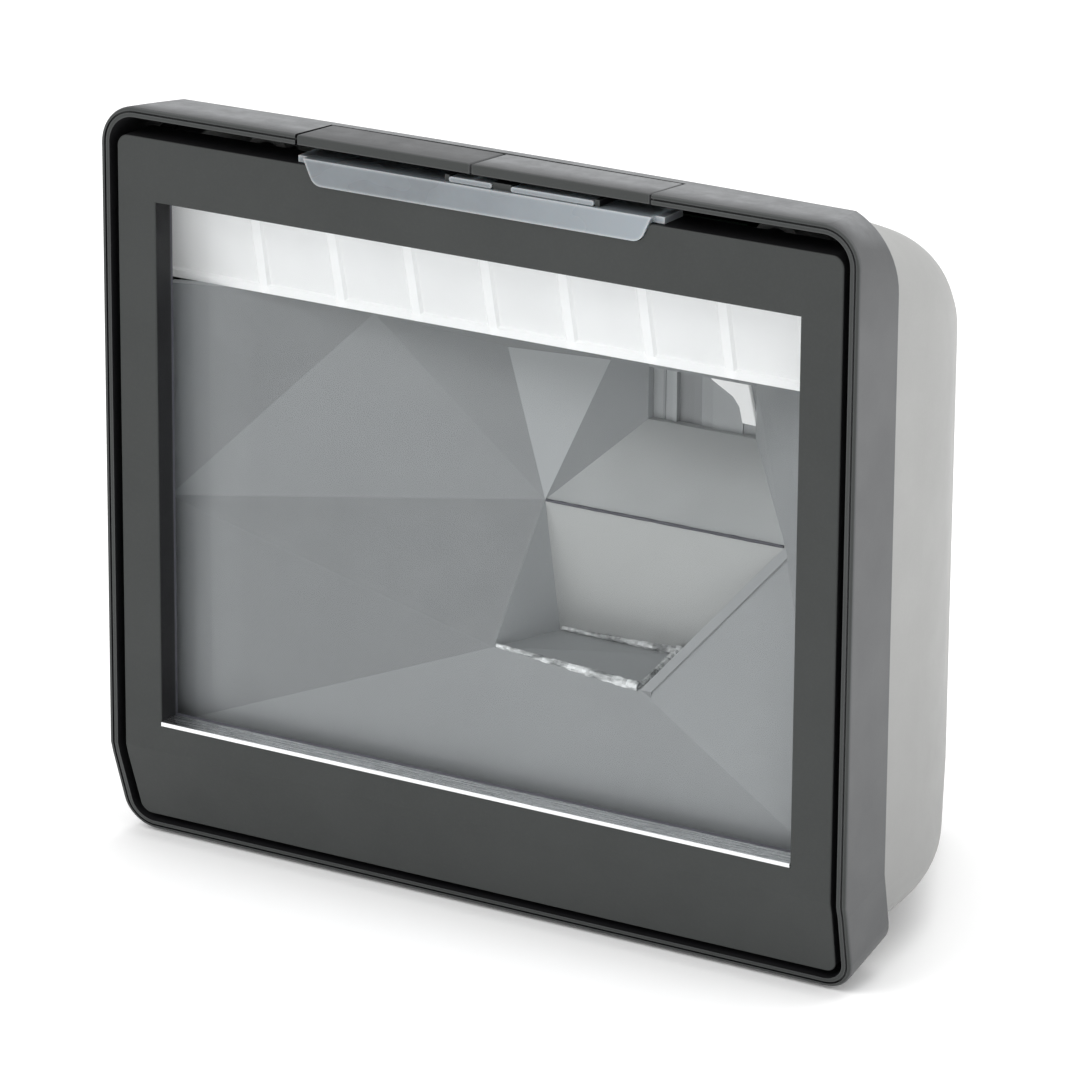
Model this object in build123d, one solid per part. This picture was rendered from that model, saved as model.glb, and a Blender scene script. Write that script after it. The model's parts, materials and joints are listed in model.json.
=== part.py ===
from build123d import *
import math
import os

# Upright single-window barcode scanner for a checkout counter.
# It stands on z = 0 with its window facing -Y and its width along X.
# Depths are counted from the foremost edge of the trim band, heights from the counter.

# Overall size (mm)
WIDTH = 166.0
DEPTH = 97.0
BAND_HEIGHT = 148.3
BAND_LIFT = 0.5
BAND_DEPTH = 14.65
BAND_WALL = 2.0
CHIN_HEIGHT = 18.7
CHIN_ANGLE = 16.0
BAND_TOP_RADIUS = 7.7
BAND_REAR_RADIUS = 15.5
BAND_BOTTOM_RADIUS = 6.5
BAND_TOP_FALL = 0.9
BAND_CROWN = 0.7
FRONT_CROWN = 0.02
CHIN_TAPER = 0.9
CHIN_EASE = 2.5
BAND_EDGE = 0.6
GROOVE_INSET = 0.8
GROOVE_WIDTH = 0.4
GROOVE_DEPTH = 0.6

# Front bezel and window
BEZEL_GAP_SIDE = 1.5
BEZEL_GAP_TOP = 3.8
BEZEL_GAP_BOTTOM = 1.4
BEZEL_SET_BACK = 0.4
BEZEL_THICKNESS = 2.6
BEZEL_RADIUS = 2.4
BEZEL_EDGE = 0.4
SKIRT_WALL = 1.8
SKIRT_DEPTH = 9.0
WINDOW_WIDTH = 141.5
WINDOW_BOTTOM = 24.7
WINDOW_TOP = 130.5
LIP_WALL = 1.6
LIP_DEPTH = 5.3
SILL_HEIGHT = 0.8
GASKET_REVEAL = 0.4
GLASS_FRONT = 6.5
GLASS_THICKNESS = 2.8
GLASS_WIDTH = 149.0
GLASS_BOTTOM = 21.8
GLASS_TOP = 133.4

# Rear housing
HOUSING_WALL = 2.3
HOUSING_FLOOR = 5.0
HOUSING_START_HALF = 82.0
HOUSING_START_TOP = 148.2
HOUSING_TOP_SLOPE = 0.37
HOUSING_KNEE = 43.0
HOUSING_KNEE_HALF = 79.4
HOUSING_KNEE_RADIUS = 60.0
HOUSING_REAR_HALF = 51.4
HOUSING_TOP_RADIUS = 17.0
HOUSING_BASE_RADIUS = 12.0
HOUSING_CORNER = 18.0
JOINT_CLEARANCE = 0.25
FIT_GAP = 0.2
LIP_INSERT = 3.2
COLLAR_WALL = 1.6
POST_X = 56.0
POST_LOW = 12.6
POST_HIGH = 137.4
WELL_RADIUS = 5.2
WELL_BORE = 3.6
WELL_FRONT = 17.0
WELL_SEAT = 20.0
SCREW_RADIUS = 1.5
POST_RADIUS = 3.6
HEAD_HEIGHT = 2.2
DRIVE_LENGTH = 1.8
DRIVE_WIDTH = 0.4
INSERT_SPACING = 75.0
INSERT_HEIGHT = 62.0
INSERT_BORE = 2.0
INSERT_RADIUS = 3.0
INSERT_LENGTH = 7.0
FOOT_X = 50.0
FOOT_FRONT = 30.0
FOOT_REAR = 76.0
FOOT_RADIUS = 7.0
PAD_HEIGHT = 2.4
FOOT_SEAT = 0.8
FOOT_EDGE = 0.8

# Light strip and keys on the top edge
PIPE_CENTRE = 1.5
PIPE_WIDTH = 76.0
PIPE_BOTTOM = 139.4
PIPE_TOP = 144.4
PIPE_TAPER = 2.3
PIPE_RADIUS = 2.6
PIPE_THICKNESS = 1.5
PIPE_CLEARANCE = 0.15
TAB_LEFT = -5.5
TAB_RIGHT = 28.0
KEY_LEFT = -37.8
KEY_SPLIT = 0.6
KEY_RIGHT = 39.0
KEY_GAP = 0.5
KEY_DEPTH = 12.4
KEY_THICKNESS = 2.0
KEY_EDGE = 0.35
KEY_SINK = 0.05
KEY_TRAVEL = 0.8
KEY_BOARD_TOP = 138.6
KEY_BOARD_FRONT = 9.1
KEY_BOARD_REAR = 24.0
SWITCH_HEIGHT = 3.2
STEM_DEPTH = 10.9
PLUNGER_RADIUS = 1.2
PLUNGER_CLEARANCE = 0.3
SWITCH_HALF = 3.0
STEM_HALF = 2.0
STATUS_LAMPS = (-28.0, -2.0, 8.0, 30.0)

# Illumination
CELL_COUNT = 8
CELL_PITCH = 17.15
CELLS_LEFT = -70.9
REFLECTOR_BOTTOM = 112.4
REFLECTOR_TOP = 131.0
REFLECTOR_FRONT = 9.9
REFLECTOR_LEAN = 4.6
REFLECTOR_THICKNESS = 2.6
DIFFUSER_LEFT = -77.0
DIFFUSER_RIGHT = 72.0
CELL_SCOOP = 0.9
CELL_RIB = 0.9
LED_BOARD_DEPTH = 19.0
LAMP_HEIGHT = 0.9

# Optics
PANEL = 2.4
ROOF = 127.5
MIRROR_THICKNESS = 2.0
RIDGE_DEPTH = 26.4
APERTURE_DEPTH = 41.8
CREST_DEPTH = 11.5
RIM_DEPTH = 9.5
LENS_X = 29.0
LENS_Z = 96.6
SHROUD_LEFT = 12.5
SHROUD_RIGHT = 40.5
SHROUD_LOW = 89.0
SHROUD_HIGH = 103.8
SHROUD_LENGTH = 14.0
SHROUD_WALL = 2.0
BARREL_RADIUS = 5.1
LENS_RADIUS = 3.7
LENS_CURVE = 6.2
CAMERA_LENGTH = 20.0
SENSOR_HALF_WIDTH = 4.0
SENSOR_HALF_HEIGHT = 3.6
FLEX_THICKNESS = 0.3

# Electronics
MAIN_BOARD_DEPTH = 80.0
BOARD_THICKNESS = 1.6
BOARD_HALF = 43.0
BOARD_LOW = 11.0
BOARD_HIGH = 104.0
STANDOFF_X = 39.5
STANDOFF_LOW = 45.0
STANDOFF_HIGH = 80.0
JACK_LOW = 14.0
JACK_HIGH = 28.0
JACK_FRONT = 81.6
JACK_REAR = 95.6
JACK_LIP = 1.4
SPEAKER_RADIUS = 14.0
SPEAKER_HEIGHT = 92.0
LABEL_HALF = 27.0
LABEL_LOW = 36.0
LABEL_HIGH = 60.0
LABEL_RECESS = 0.5
LABEL_RADIUS = 2.0
SLOT_COUNT = 5
SLOT_LOW = 86.0
SLOT_PITCH = 4.0
SLOT_HALF = 9.0
SLOT_HEIGHT = 1.6
REAR_CUT = 8.0
CONE_RADIUS = 11.7
CONE_NECK = 4.0
CONE_LENGTH = 3.2
CONE_WALL = 0.6
MAGNET_RADIUS = 6.0
FIN_PITCH = 4
FIN_WIDTH = 1.2

FRONT = -DEPTH / 2
TOP = BAND_LIFT + BAND_HEIGHT
FOLD = BAND_LIFT + CHIN_HEIGHT
HALF = WIDTH / 2
REACH = 400.0
CHIN = math.radians(CHIN_ANGLE)
CHIN_LENGTH = CHIN_HEIGHT / math.cos(CHIN)


def at(x, depth, z):
    """A point given by its depth behind the foremost edge."""
    return (x, FRONT + depth, z)


def block(x0, x1, d0, d1, z0, z1):
    """A box between two depths and two heights."""
    centre = Pos((x0 + x1) / 2, FRONT + (d0 + d1) / 2, (z0 + z1) / 2)
    return centre * Box(x1 - x0, d1 - d0, z1 - z0)


def rod_y(x, z, radius, d0, d1):
    """A round bar running front to back."""
    return Pos(x, FRONT + (d0 + d1) / 2, z) * Rot(90, 0, 0) * Cylinder(radius, d1 - d0)


def rod_z(x, depth, radius, z0, z1):
    """A round bar standing upright."""
    return Pos(x, FRONT + depth, (z0 + z1) / 2) * Cylinder(radius, z1 - z0)


def one(shape):
    """The single solid of a shape."""
    return shape.solids()[0]


def side_view(points, half=HALF + 10):
    """A side-view outline of depths and heights, pushed both ways across the width."""
    loop = Wire.make_polygon([Vector(0, FRONT + d, z) for d, z in points])
    return extrude(Face(loop), half, dir=(1, 0, 0), both=True)


def outline(inset, top_inset, bottom_inset, top_radius, bottom_radius):
    """The face outline laid flat, straight sided above the fold and narrowing below it."""
    side = HALF - inset
    low = side - CHIN_TAPER
    high = TOP - top_inset
    ease = FOLD - CHIN_EASE
    base = FOLD - CHIN_LENGTH + bottom_inset
    points = [(side, high), (side, ease), (low, base), (-low, base), (-side, ease), (-side, high)]
    face = Face(Wire.make_polygon([Vector(x, FRONT, z) for x, z in points]))
    face = face.fillet_2d(top_radius, [v for v in face.vertices() if v.Z > high - 0.01])
    return face.fillet_2d(bottom_radius, [v for v in face.vertices() if v.Z < base + 0.01])


def above_fold():
    """Everything above the plane that halves the angle of the fold."""
    rise = REACH * math.tan(CHIN / 2)
    return side_view([(-REACH, FOLD - rise), (REACH, FOLD + rise), (REACH, REACH), (-REACH, REACH)])


def folded(face, front, rear, rear_face=None):
    """A flat outline, thick from one depth to another, with its chin bent back at the fold."""
    if rear_face is None:
        flat = extrude(Pos(0, front, 0) * face, rear - front, dir=(0, 1, 0))
    else:
        flat = loft([Pos(0, front, 0) * face, Pos(0, rear, 0) * rear_face], ruled=True)
    hinge = Pos(0, FRONT, FOLD) * Rot(CHIN_ANGLE, 0, 0) * Pos(0, -FRONT, -FOLD)
    chin = (hinge * flat) - above_fold()
    return (flat & above_fold()) + chin


def bent_slab(front, rear):
    """A slab between two depths that is wider than the object and follows the fold."""
    corners = [(-REACH, -REACH), (REACH, -REACH), (REACH, REACH), (-REACH, REACH)]
    return folded(Face(Wire.make_polygon([Vector(x, FRONT, z) for x, z in corners])), front, rear)


def face_depth(point):
    """How far a point lies behind the bent face."""
    depth = point.Y - FRONT
    return min(depth, depth * math.cos(CHIN) + (point.Z - FOLD) * math.sin(CHIN))


def front_edges(solid, depth):
    """The edges of a solid that lie at one depth behind the face, but for its crease."""
    def flush(edge):
        samples = [edge.position_at(t) for t in (0, 0.5, 1)]
        crease = abs(samples[0].Z - samples[2].Z) < 0.01 and abs(samples[0].Z - FOLD) < 1
        return not crease and all(abs(face_depth(p) - depth) < 0.02 for p in samples)
    return [edge for edge in solid.edges() if flush(edge)]


def band_outline(inset, depth=0):
    """The band's outline at a depth; its top corners grow rounder to the rear."""
    growth = (BAND_REAR_RADIUS - BAND_TOP_RADIUS) * depth / BAND_DEPTH
    top_radius = max(BAND_TOP_RADIUS + growth - inset, 1.0)
    bottom_radius = max(BAND_BOTTOM_RADIUS - inset, 1.0)
    return outline(inset, inset, inset, top_radius, bottom_radius)


def crown_section(depth, sag):
    """Upright section of the space over the band, whose floor is a shallow arc."""
    reach = HALF + 10
    centre = TOP - BAND_TOP_FALL * depth / BAND_DEPTH
    arc = ThreePointArc(at(-reach, depth, centre - sag), at(0, depth, centre), at(reach, depth, centre - sag))
    roof = Polyline(arc @ 1, at(reach, depth, TOP + 50), at(-reach, depth, TOP + 50), arc @ 0)
    return Face(Wire([arc, *roof.edges()]))


def above_band():
    """The space above the band's top face, which falls to the rear and is crowned there."""
    return loft([crown_section(0, FRONT_CROWN), crown_section(BAND_DEPTH, BAND_CROWN)])


def side_band():
    """The trim band round the face, open on top where the two keys sit."""
    body = one(folded(band_outline(0), 0, BAND_DEPTH, band_outline(0, BAND_DEPTH)))
    body = fillet(front_edges(body, 0), BAND_EDGE)
    front, rear = -1, BAND_DEPTH + 1
    body -= folded(band_outline(BAND_WALL, front), front, rear, band_outline(BAND_WALL, rear))
    groove = folded(band_outline(GROOVE_INSET), -1, GROOVE_DEPTH)
    groove -= folded(band_outline(GROOVE_INSET + GROOVE_WIDTH), -2, GROOVE_DEPTH + 1)
    body -= groove
    body -= above_band()
    notch = block(KEY_LEFT - KEY_GAP, KEY_RIGHT + KEY_GAP, -1, KEY_DEPTH, TOP - BAND_WALL - 1, TOP + 1)
    return one(body - notch)


def bezel_outline(extra):
    side = BAND_WALL + BEZEL_GAP_SIDE + extra
    top = BAND_WALL + BEZEL_GAP_TOP + extra
    bottom = BAND_WALL + BEZEL_GAP_BOTTOM + extra
    return outline(side, top, bottom, BEZEL_RADIUS, BEZEL_RADIUS)


def post_places():
    """Screw posts at the four corners, outside the glass."""
    return [(x, z) for x in (-POST_X, POST_X) for z in (POST_LOW, POST_HIGH)]


def front_bezel():
    """The face plate with its window frame, folded back at the chin."""
    rear = BEZEL_SET_BACK + BEZEL_THICKNESS
    plate = folded(bezel_outline(0), BEZEL_SET_BACK, rear)
    skirt = folded(bezel_outline(0), rear - 0.1, SKIRT_DEPTH)
    skirt -= folded(bezel_outline(SKIRT_WALL), 0, SKIRT_DEPTH + 1)
    half = WINDOW_WIDTH / 2
    lip = block(-half - LIP_WALL, half + LIP_WALL, rear - 0.1, LIP_DEPTH,
                WINDOW_BOTTOM - LIP_WALL, WINDOW_TOP + LIP_WALL)
    body = plate + skirt + lip
    body -= block(-half, half, -1, REACH, WINDOW_BOTTOM, WINDOW_TOP)
    body = fillet(front_edges(body, BEZEL_SET_BACK), BEZEL_EDGE)
    body -= extrude(Pos(0, -1, 0) * pipe_outline(PIPE_CLEARANCE), PIPE_THICKNESS + 1.1, dir=(0, 1, 0))
    for x, z in post_places():
        body += rod_y(x, z, POST_RADIUS, 0, WELL_FRONT) & bent_slab(rear - 0.1, REACH)
        body -= rod_y(x, z, SCREW_RADIUS, rear + 1.5, REACH)
    return one(body)


def sill_trim():
    """A bright strip along the bottom edge of the window."""
    half = WINDOW_WIDTH / 2
    return block(-half, half, BEZEL_SET_BACK - 0.1, LIP_DEPTH, WINDOW_BOTTOM, WINDOW_BOTTOM + SILL_HEIGHT)


def window_gasket():
    """A flat seal between the window frame and the glass."""
    half = WINDOW_WIDTH / 2 + GASKET_REVEAL
    outer = block(-GLASS_WIDTH / 2, GLASS_WIDTH / 2, LIP_DEPTH, GLASS_FRONT, GLASS_BOTTOM, GLASS_TOP)
    return outer - block(-half, half, 0, REACH, WINDOW_BOTTOM + SILL_HEIGHT,
                         WINDOW_TOP + GASKET_REVEAL)


def window_glass():
    rear = GLASS_FRONT + GLASS_THICKNESS
    return block(-GLASS_WIDTH / 2, GLASS_WIDTH / 2, GLASS_FRONT, rear, GLASS_BOTTOM, GLASS_TOP)


def housing_plan(inset):
    """Top view of the housing: gently narrowing, then steeply from the knee backwards."""
    start = BAND_DEPTH - LIP_INSERT
    end = DEPTH - inset
    points = [
        (HOUSING_START_HALF - inset, start),
        (HOUSING_KNEE_HALF - inset, HOUSING_KNEE),
        (HOUSING_REAR_HALF - inset, end),
    ]
    mirrored = [(-x, d) for x, d in reversed(points)]
    face = Face(Wire.make_polygon([Vector(x, FRONT + d, 0) for x, d in points + mirrored]))
    knees = [v for v in face.vertices() if abs(v.Y - FRONT - HOUSING_KNEE) < 0.01]
    return face.fillet_2d(HOUSING_KNEE_RADIUS, knees)


def housing_profile(inset):
    """Side view of the housing: flat underneath, sloping down to the rear on top."""
    start = BAND_DEPTH - LIP_INSERT
    end = DEPTH - inset
    floor = HOUSING_FLOOR + inset
    start_top = HOUSING_START_TOP - inset
    end_top = start_top - HOUSING_TOP_SLOPE * (end - start)
    return side_view([(start, floor), (end, floor), (end, end_top), (start, start_top)])


def housing_body(inset):
    """The housing as a solid, drawn in by a wall thickness on every side but the front."""
    body = extrude(housing_plan(inset), REACH, dir=(0, 0, 1))
    body &= housing_profile(inset)
    rear = body.edges().filter_by(Axis.Z).sort_by(Axis.Y)[-2:]
    body = fillet(rear, HOUSING_CORNER - inset)
    start = FRONT + BAND_DEPTH - LIP_INSERT
    rims = [e for e in body.edges() if e.bounding_box().max.Y > start + 0.01]
    level = [e for e in rims if abs(e.tangent_at(0.5).Z) < 0.9]
    low = [e for e in level if e.center().Z < HOUSING_FLOOR + HOUSING_WALL + 1]
    body = fillet(low, HOUSING_BASE_RADIUS - inset)
    high = [e for e in body.edges() if is_top_rim(e, start)]
    return fillet(high, HOUSING_TOP_RADIUS - inset)


def is_top_rim(edge, start):
    """True for the edges round the sloping top, apart from the one at the band."""
    level = abs(edge.tangent_at(0.5).Z) < 0.9
    behind = edge.bounding_box().max.Y > start + 0.01
    return level and behind and edge.center().Z > TOP / 2


def speaker_slots():
    """Sound slots through the rear wall."""
    slots = []
    for row in range(SLOT_COUNT):
        z = SLOT_LOW + SLOT_PITCH * row
        slots.append(block(-SLOT_HALF, SLOT_HALF, DEPTH - REAR_CUT, DEPTH + 1, z, z + SLOT_HEIGHT))
    return slots


def insert_places():
    half = INSERT_SPACING / 2
    return [(x, INSERT_HEIGHT + z) for x in (-half, half) for z in (-half, half)]


def foot_places():
    return [(x, depth) for x in (-FOOT_X, FOOT_X) for depth in (FOOT_FRONT, FOOT_REAR)]


def standoff_places():
    return [(x, z) for x in (-STANDOFF_X, STANDOFF_X) for z in (STANDOFF_LOW, STANDOFF_HIGH)]


def jack_spans():
    """Left and right edge of each modular socket."""
    return {"data_jack": (-15.0, 0.0), "power_jack": (3.0, 14.0)}


def key_clearance():
    """The space under the keys that the housing's sleeve leaves free."""
    low = TOP - BAND_WALL - 4
    return block(KEY_LEFT - 2, KEY_RIGHT + 2, 0, KEY_DEPTH + 0.8, low, TOP + 1)


def housing_wells(outer, band):
    """Four deep wells that lead a screwdriver to the screws behind the face."""
    walls = Part()
    bores = Part()
    for x, z in post_places():
        walls += rod_y(x, z, WELL_RADIUS, WELL_FRONT, DEPTH) & outer
        bores += rod_y(x, z, WELL_BORE, WELL_SEAT, REACH / 2)
        bores += rod_y(x, z, SCREW_RADIUS + 0.3, WELL_FRONT - 1, WELL_SEAT + 1)
    return walls - band, bores


def housing_bosses():
    """Bosses for the rear inserts, the main board and the feet, with their holes."""
    walls = Part()
    bores = Part()
    for x, z in insert_places():
        walls += rod_y(x, z, INSERT_RADIUS + 1.8, DEPTH - INSERT_LENGTH - 2, DEPTH - 1)
        bores += rod_y(x, z, INSERT_RADIUS, DEPTH - INSERT_LENGTH, DEPTH + 1)
    for x, z in standoff_places():
        walls += rod_y(x, z, INSERT_RADIUS, MAIN_BOARD_DEPTH + BOARD_THICKNESS, DEPTH - 1)
        bores += rod_y(x, z, SCREW_RADIUS, MAIN_BOARD_DEPTH, MAIN_BOARD_DEPTH + 9)
    for x, depth in foot_places():
        walls += rod_z(x, depth, FOOT_RADIUS + 1.5, PAD_HEIGHT, HOUSING_FLOOR + 1)
        bores += rod_z(x, depth, FOOT_RADIUS + FIT_GAP, 0, PAD_HEIGHT + FOOT_SEAT)
    return walls, bores


def rear_housing():
    """The tapering rear shell, with a sleeve and a collar that plug into the trim band and close it."""
    outer = housing_body(0)
    band = bent_slab(-5, BAND_DEPTH)
    plug = BAND_WALL + JOINT_CLEARANCE
    plug_face = band_outline(plug, BAND_DEPTH)
    sleeve = folded(plug_face, BAND_DEPTH - LIP_INSERT, BAND_DEPTH + LIP_INSERT)
    sleeve -= folded(band_outline(plug + SKIRT_WALL, BAND_DEPTH), 0, REACH / 2)
    sleeve = (sleeve & (outer + band)) - key_clearance()
    inner = housing_body(HOUSING_WALL)
    collar = folded(plug_face, BAND_DEPTH - COLLAR_WALL, BAND_DEPTH) - inner - key_clearance()
    wells, well_bores = housing_wells(outer, band)
    bosses, boss_bores = housing_bosses()
    shell = (outer - inner - band) + sleeve + collar + wells + bosses
    shell -= well_bores
    shell -= boss_bores
    gap = FIT_GAP
    for slot in speaker_slots():
        shell -= slot
    for left, right in jack_spans().values():
        shell -= block(left - gap, right + gap, DEPTH - REAR_CUT, DEPTH + 1, JACK_LOW - gap, JACK_HIGH + gap)
    shell -= block(-LABEL_HALF - gap, LABEL_HALF + gap, DEPTH - LABEL_RECESS, DEPTH + 1,
                   LABEL_LOW - gap, LABEL_HIGH + gap)
    return shell


def rubber_feet():
    """Four round feet under the housing."""
    feet = []
    for x, depth in foot_places():
        foot = rod_z(x, depth, FOOT_RADIUS, 0, PAD_HEIGHT + FOOT_SEAT)
        lowest = [e for e in foot.edges() if e.center().Z < 0.01]
        feet.append(fillet(lowest, FOOT_EDGE))
    return Compound(children=feet)


def case_screws():
    """Pan-head screws at the bottom of the wells."""
    screws = []
    for x, z in post_places():
        shank = rod_y(x, z, SCREW_RADIUS, WELL_SEAT - 12, WELL_SEAT)
        head = rod_y(x, z, WELL_BORE - 0.8, WELL_SEAT, WELL_SEAT + HEAD_HEIGHT)
        low, high = WELL_SEAT + HEAD_HEIGHT - 1, WELL_SEAT + HEAD_HEIGHT + 1
        slot = block(x - DRIVE_WIDTH, x + DRIVE_WIDTH, low, high, z - DRIVE_LENGTH, z + DRIVE_LENGTH)
        cross = block(x - DRIVE_LENGTH, x + DRIVE_LENGTH, low, high, z - DRIVE_WIDTH, z + DRIVE_WIDTH)
        screws.append(shank + head - slot - cross)
    return Compound(children=screws)


def mounting_inserts():
    """Threaded brass inserts for a bracket, on the rear face."""
    inserts = []
    for x, z in insert_places():
        insert = rod_y(x, z, INSERT_RADIUS, DEPTH - INSERT_LENGTH, DEPTH - 0.2)
        inserts.append(insert - rod_y(x, z, INSERT_BORE, DEPTH - INSERT_LENGTH - 1, DEPTH + 1))
    return Compound(children=inserts)


def label_plate():
    """A blank rating plate let into the rear face."""
    plate = block(-LABEL_HALF, LABEL_HALF, DEPTH - LABEL_RECESS, DEPTH - 0.1, LABEL_LOW, LABEL_HIGH)
    return fillet([e for e in plate.edges() if abs(e.tangent_at(0.5).Y) > 0.9], LABEL_RADIUS)


def pipe_outline(grow):
    """Front view of the light strip: straight on top, drawn in and rounded at the foot."""
    top = PIPE_WIDTH / 2 + grow
    foot = top - PIPE_TAPER
    low = PIPE_BOTTOM - grow
    high = PIPE_TOP + grow
    points = [(-top, high), (top, high), (foot, low), (-foot, low)]
    face = Face(Wire.make_polygon([Vector(*at(PIPE_CENTRE + x, 0, z)) for x, z in points]))
    return face.fillet_2d(PIPE_RADIUS + grow, [v for v in face.vertices() if v.Z < low + 0.01])


def light_pipe():
    """The translucent status strip that hooks over the top edge of the bezel."""
    half = PIPE_WIDTH / 2
    strip = extrude(pipe_outline(0), PIPE_THICKNESS, dir=(0, 1, 0))
    bezel_top = TOP - BAND_WALL - BEZEL_GAP_TOP
    flange = block(PIPE_CENTRE - half - 2, PIPE_CENTRE + half + 2, PIPE_THICKNESS, 8.0,
                   bezel_top + 0.1, PIPE_TOP)
    return strip + flange


def status_tab():
    """The tab that fills the gap above the light strip and frames two clear windows."""
    high = TOP - BAND_WALL - KEY_TRAVEL - 0.3
    body = block(TAB_LEFT, TAB_RIGHT, 0.9, 7.6, PIPE_TOP, high)
    for left, right in tab_windows():
        body -= block(left, right, 0, 4.0, PIPE_TOP - 1, high + 1)
    return body


def tab_windows():
    return [(TAB_LEFT + 1.0, TAB_LEFT + 10.5), (TAB_LEFT + 14.5, TAB_RIGHT - 1.0)]


def status_windows():
    """Clear windows of the status tab."""
    high = TOP - BAND_WALL - KEY_TRAVEL - 0.5
    windows = []
    for left, right in tab_windows():
        window = block(left + 0.1, right - 0.1, 0.6, 3.9, PIPE_TOP + 0.1, high)
        windows.append(fillet(window.edges().filter_by(Axis.Y), 0.4))
    return Compound(children=windows)


def above_keys():
    """The space over the keys, which fall to the rear with the band but are not crowned."""
    fall = BAND_TOP_FALL * REACH / BAND_DEPTH
    top = TOP - KEY_SINK
    return side_view([(-REACH, top + fall), (-REACH, 2 * REACH), (REACH, 2 * REACH), (REACH, top - fall)])


def key_span(side):
    if side == "left":
        return KEY_LEFT, KEY_SPLIT - KEY_GAP / 2
    return KEY_SPLIT + KEY_GAP / 2, KEY_RIGHT


def key(side):
    """A touch key that forms part of the band's top edge, with its stem."""
    left, right = key_span(side)
    plate = block(left, right, 0.1, KEY_DEPTH - 0.4, TOP - KEY_THICKNESS, TOP + 1)
    plate -= above_keys()
    plate = fillet(plate.faces().sort_by(Axis.Z)[-1].edges(), KEY_EDGE)
    middle = (left + right) / 2
    stem = block(middle - STEM_HALF, middle + STEM_HALF, STEM_DEPTH - 1.2, STEM_DEPTH + 1.1,
                 plunger_top(), TOP - 1)
    return plate + stem


def plunger_top():
    return KEY_BOARD_TOP + SWITCH_HEIGHT + 1.6


def plunger(side):
    """The switch plunger that travels with its key."""
    middle = sum(key_span(side)) / 2
    return rod_z(middle, STEM_DEPTH, PLUNGER_RADIUS, KEY_BOARD_TOP + 1.2, plunger_top())


def key_switches():
    """Bodies of the two tact switches, bored for their plungers."""
    bodies = []
    for side in ("left", "right"):
        middle = sum(key_span(side)) / 2
        top = KEY_BOARD_TOP + SWITCH_HEIGHT
        body = block(middle - SWITCH_HALF, middle + SWITCH_HALF, KEY_BOARD_FRONT, KEY_BOARD_FRONT + 4,
                     KEY_BOARD_TOP, top)
        bore = PLUNGER_RADIUS + PLUNGER_CLEARANCE
        bodies.append(body - rod_z(middle, STEM_DEPTH, bore, KEY_BOARD_TOP + 0.3, top + 1))
    return Compound(children=bodies)


def key_board():
    """The small board under the top edge that carries the switches and status lamps."""
    return block(-45, 46, KEY_BOARD_FRONT, KEY_BOARD_REAR, KEY_BOARD_TOP - BOARD_THICKNESS, KEY_BOARD_TOP)


def status_lamps():
    """Side-firing lamps that shine into the light strip and its tab."""
    lamps = []
    for x in STATUS_LAMPS:
        lamps.append(block(x - 1.5, x + 1.5, 14.2, 16.2, KEY_BOARD_TOP, KEY_BOARD_TOP + 1.2))
    return Compound(children=lamps)


def light_diffuser():
    """The white eight-cell diffuser behind the top of the window, leaning back at its foot."""
    rise = REFLECTOR_TOP - REFLECTOR_BOTTOM
    foot = REFLECTOR_FRONT + REFLECTOR_LEAN
    points = [
        (REFLECTOR_FRONT, REFLECTOR_TOP),
        (foot, REFLECTOR_BOTTOM),
        (foot + REFLECTOR_THICKNESS, REFLECTOR_BOTTOM),
        (REFLECTOR_FRONT + REFLECTOR_THICKNESS, REFLECTOR_TOP),
    ]
    loop = Wire.make_polygon([Vector(DIFFUSER_LEFT, FRONT + d, z) for d, z in points])
    panel = extrude(Face(loop), DIFFUSER_RIGHT - DIFFUSER_LEFT, dir=(1, 0, 0))
    lean = math.degrees(math.atan2(REFLECTOR_LEAN, rise))
    half = CELL_PITCH / 2 - CELL_RIB / 2
    radius = (half ** 2 + CELL_SCOOP ** 2) / (2 * CELL_SCOOP)
    centre_d = REFLECTOR_FRONT + REFLECTOR_LEAN / 2
    centre_z = (REFLECTOR_TOP + REFLECTOR_BOTTOM) / 2
    for cell in range(CELL_COUNT):
        x = CELLS_LEFT + CELL_PITCH * (cell + 0.5)
        roller = Cylinder(radius, rise * 1.5)
        back = (radius - CELL_SCOOP) / math.cos(math.radians(lean))
        panel -= Pos(x, FRONT + centre_d - back, centre_z) * Rot(lean, 0, 0) * roller
    return one(panel)


def led_board():
    """The upright lamp board behind the diffuser."""
    rear = LED_BOARD_DEPTH + BOARD_THICKNESS
    return block(-71, 71, LED_BOARD_DEPTH, rear, REFLECTOR_BOTTOM, REFLECTOR_TOP)


def illumination_leds():
    """One white lamp for each cell of the diffuser."""
    lamps = []
    middle = (REFLECTOR_TOP + REFLECTOR_BOTTOM) / 2
    for cell in range(CELL_COUNT):
        x = CELLS_LEFT + CELL_PITCH * (cell + 0.5)
        front = LED_BOARD_DEPTH - LAMP_HEIGHT
        lamps.append(block(x - 1.8, x + 1.8, front, LED_BOARD_DEPTH, middle - 1.6, middle + 1.6))
    return Compound(children=lamps)


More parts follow.
